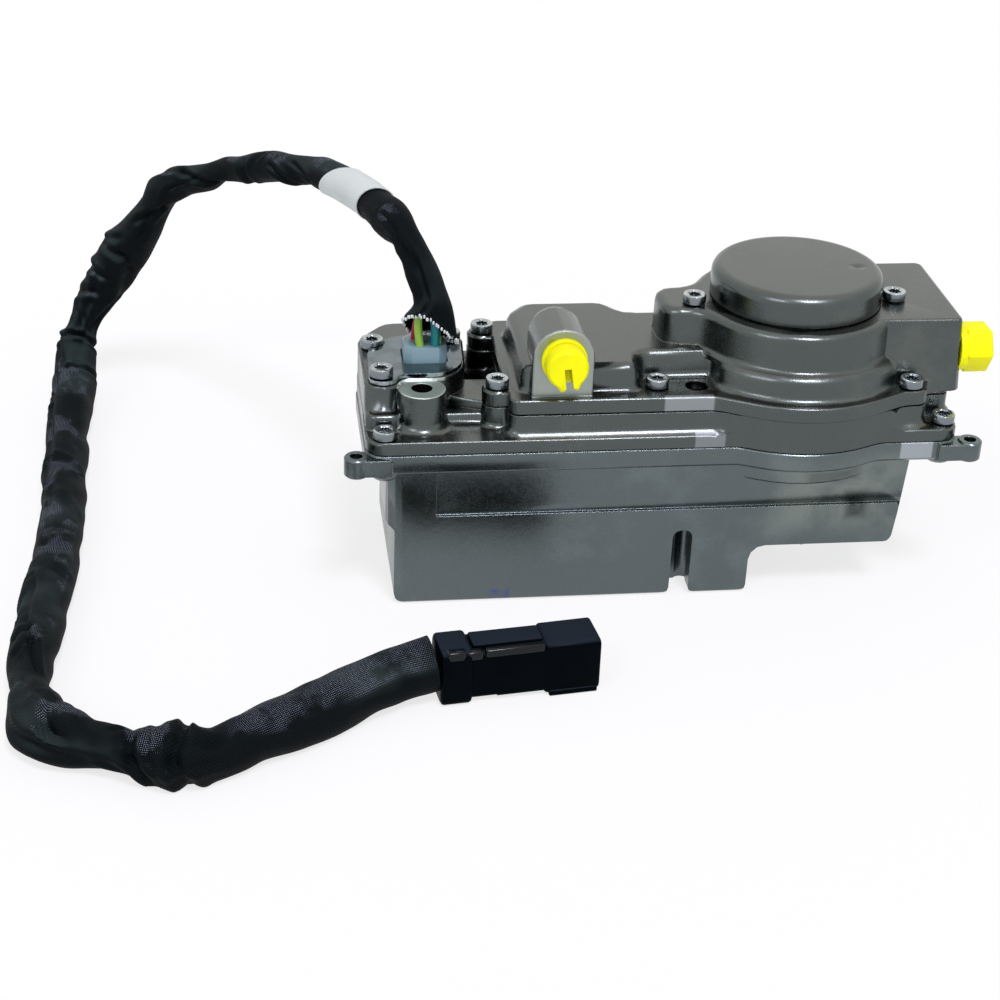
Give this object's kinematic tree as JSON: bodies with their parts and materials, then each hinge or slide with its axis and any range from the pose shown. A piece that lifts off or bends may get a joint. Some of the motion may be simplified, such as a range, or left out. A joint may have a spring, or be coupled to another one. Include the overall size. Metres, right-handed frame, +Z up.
{
  "type": "turbocharger actuator",
  "caption": "Electric turbocharger actuator: stacked cast housing, round motor cap, coolant ports with plugs, geared output pinion and wiring harness with plug.",
  "frame": {"origin": "on the floor under the middle of the castings' overall box", "axes": "+X along the castings towards the output end with the motor cap, +Y to the back, +Z up through the cap"},
  "size_m": [0.3551, 0.308, 0.1382],
  "materials": {
    "cast_aluminium": "as cast, grey and slightly stained",
    "zinc_steel": "zinc plated, bluish",
    "steel": "ground",
    "yellow_plastic": "moulded, bright yellow",
    "clear_plastic": "translucent blue-grey",
    "black_plastic": "moulded, black",
    "black_weave": "woven sleeve",
    "white_label": "plain wrapped label",
    "rubber": "black",
    "copper": "enamelled wire",
    "board_green": "solder mask",
    "wire_red": "insulated wire",
    "wire_green": "insulated wire",
    "wire_teal": "insulated wire"
  },
  "bodies": {
    "housing": {"base_housing": "cast_aluminium", "main_housing": "cast_aluminium", "top_cover": "cast_aluminium", "bearing_cap": "cast_aluminium", "base_gasket": "rubber", "cover_gasket": "rubber", "front_port_plug": "yellow_plastic", "side_port_plug": "yellow_plastic", "connector_body": "clear_plastic", "connector_plate": "zinc_steel", "cover_screw_1": "zinc_steel", "cover_screw_2": "zinc_steel", "cover_screw_3": "zinc_steel", "cover_screw_4": "zinc_steel", "cover_screw_5": "zinc_steel", "long_screw_1": "zinc_steel", "case_screw_1": "zinc_steel", "case_screw_2": "zinc_steel", "deck_screw_1": "zinc_steel", "deck_screw_2": "zinc_steel", "deck_screw_3": "zinc_steel", "plate_screw_1": "zinc_steel", "plate_screw_2": "zinc_steel", "plate_screw_3": "zinc_steel", "stator_core": "steel", "stator_winding_lower": "copper", "stator_winding_upper": "copper", "motor_bearing_lower": "steel", "motor_bearing_upper": "steel", "intermediate_pin": "steel", "output_bearing_upper": "steel", "output_bearing_lower": "steel", "output_seal": "rubber", "circuit_board": "board_green", "capacitor_1": "black_plastic", "capacitor_2": "black_plastic", "capacitor_3": "black_plastic", "harness_sleeve": "black_weave", "label_band": "white_label", "wire_red": "wire_red", "wire_green": "wire_green", "wire_teal": "wire_teal", "harness_plug": "black_plastic", "plug_lock": "black_plastic"},
    "output": {"output_shaft": "steel", "output_sector_gear": "steel", "output_pinion": "steel"},
    "intermediate": {"intermediate_gear": "steel"},
    "motor": {"motor_shaft": "steel", "rotor_magnet": "rubber"}
  },
  "joints": [
    {"name": "output_turn", "type": "hinge", "parent": "housing", "child": "output", "pos_m": [0.0595, 0, 0.03], "axis": [0, 0, 1], "range_deg": [0, 70]},
    {"name": "intermediate_spin", "type": "hinge", "parent": "housing", "child": "intermediate", "pos_m": [0.022, 0, 0.056], "axis": [0, 0, 1], "range_deg": [-281, 1]},
    {"name": "motor_spin", "type": "hinge", "parent": "housing", "child": "motor", "pos_m": [0.0495, 0, 0.09], "axis": [0, 0, 1], "range_deg": [-1, 1121]}
  ],
  "couplings": [
    {"joint": "intermediate_spin", "follows": "output_turn", "ratio": -4},
    {"joint": "motor_spin", "follows": "output_turn", "ratio": 16}
  ]
}
